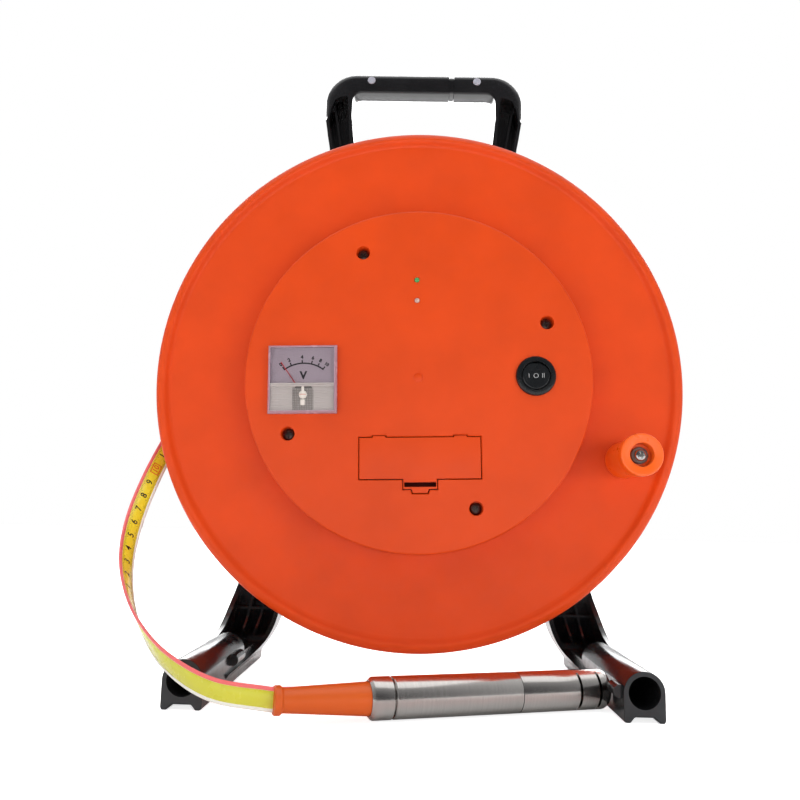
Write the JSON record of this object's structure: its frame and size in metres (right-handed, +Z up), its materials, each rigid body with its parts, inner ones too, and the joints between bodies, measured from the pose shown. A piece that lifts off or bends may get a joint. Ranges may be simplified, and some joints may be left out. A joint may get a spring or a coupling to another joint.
{
  "type": "water level meter",
  "caption": "Hand-cranked reel of flat marked tape on a moulded carrying stand, with a panel meter and switch in its hub cover and a steel sensing probe on the tape's end.",
  "frame": {"origin": "on the floor, below the middle of the reel and stand without the free tape and the probe on it", "axes": "+Z up; +X to the right as seen from the front; the reel's axle lies along Y and the instrument faces -Y"},
  "size_m": [0.3229, 0.1945, 0.4102],
  "materials": {
    "orange_plastic": "satin moulded orange plastic",
    "black_plastic": "glossy moulded black plastic",
    "steel": "brushed stainless steel",
    "brass": "plain brass",
    "clear_plastic": "clear glossy plastic",
    "white_plastic": "white printed plastic",
    "green_lamp": "green lens",
    "clear_lamp": "unlit clear lens",
    "red_paint": "red painted pointer",
    "circuit_board": "coated circuit board",
    "boot_rubber": "moulded orange rubber",
    "tape_jacket": "clear jacketed yellow steel tape",
    "battery_case": "printed metal battery case",
    "grey_plastic": "plain grey plastic"
  },
  "bodies": {
    "stand": {"stand": "black_plastic", "axle": "steel", "axle_nut": "steel", "axle_washer": "steel", "axle_screw": "steel", "tape": "tape_jacket", "probe_boot": "boot_rubber", "probe_collar": "steel", "probe_body": "steel", "probe_cage": "steel", "probe_weight": "brass", "sensor_core": "white_plastic", "sensor_pin": "steel"},
    "reel": {"front_flange": "orange_plastic", "rear_flange": "orange_plastic", "instrument_cover": "orange_plastic", "panel_screw_1": "steel", "panel_screw_2": "steel", "panel_screw_3": "steel", "panel_screw_4": "steel", "meter_case": "clear_plastic", "meter_barrel": "black_plastic", "meter_dial": "white_plastic", "meter_magnet": "steel", "switch_body": "black_plastic", "switch_terminal_1": "brass", "switch_terminal_2": "brass", "switch_terminal_3": "brass", "green_lamp": "green_lamp", "clear_lamp": "clear_lamp", "circuit_board": "circuit_board", "buzzer": "black_plastic", "battery_tray": "black_plastic", "battery": "battery_case", "battery_snap": "black_plastic", "tape_winding": "tape_jacket", "hub_bush_front": "grey_plastic", "hub_bush_rear": "grey_plastic", "knob_bolt": "steel", "knob_bush": "grey_plastic", "knob_nut": "steel"},
    "knob": {"crank_knob": "orange_plastic"},
    "door": {"battery_door": "orange_plastic"},
    "switch_rocker": {"rocker": "black_plastic"},
    "needle": {"meter_needle": "red_paint"},
    "zero_screw": {"zero_adjuster": "white_plastic"}
  },
  "joints": [
    {"name": "reel_spin", "type": "hinge", "parent": "stand", "child": "reel", "pos_m": [0, -0.01045, 0.175], "axis": [0, 1, 0], "continuous": true},
    {"name": "knob_spin", "type": "hinge", "parent": "reel", "child": "knob", "pos_m": [0.12122, -0.01045, 0.13088], "axis": [0, 1, 0], "continuous": true},
    {"name": "battery_door", "type": "hinge", "parent": "reel", "child": "door", "pos_m": [0.00151, -0.02285, 0.14113], "axis": [-0.9996, 0, -0.0297], "range_deg": [0, 60]},
    {"name": "rocker_tilt", "type": "hinge", "parent": "reel", "child": "switch_rocker", "pos_m": [0.06796, -0.02255, 0.17732], "axis": [-0.0297, 0, 0.9996], "range_deg": [-12, 12]},
    {"name": "needle_swing", "type": "hinge", "parent": "reel", "child": "needle", "pos_m": [-0.06617, -0.01045, 0.16303], "axis": [0, 1, 0], "range_deg": [0, 68], "stiffness_Nm_per_rad": 0.0002, "springref_deg": -11.46},
    {"name": "zero_turn", "type": "hinge", "parent": "reel", "child": "zero_screw", "pos_m": [-0.06617, -0.01045, 0.16303], "axis": [0, 1, 0], "range_deg": [-30, 30]}
  ]
}
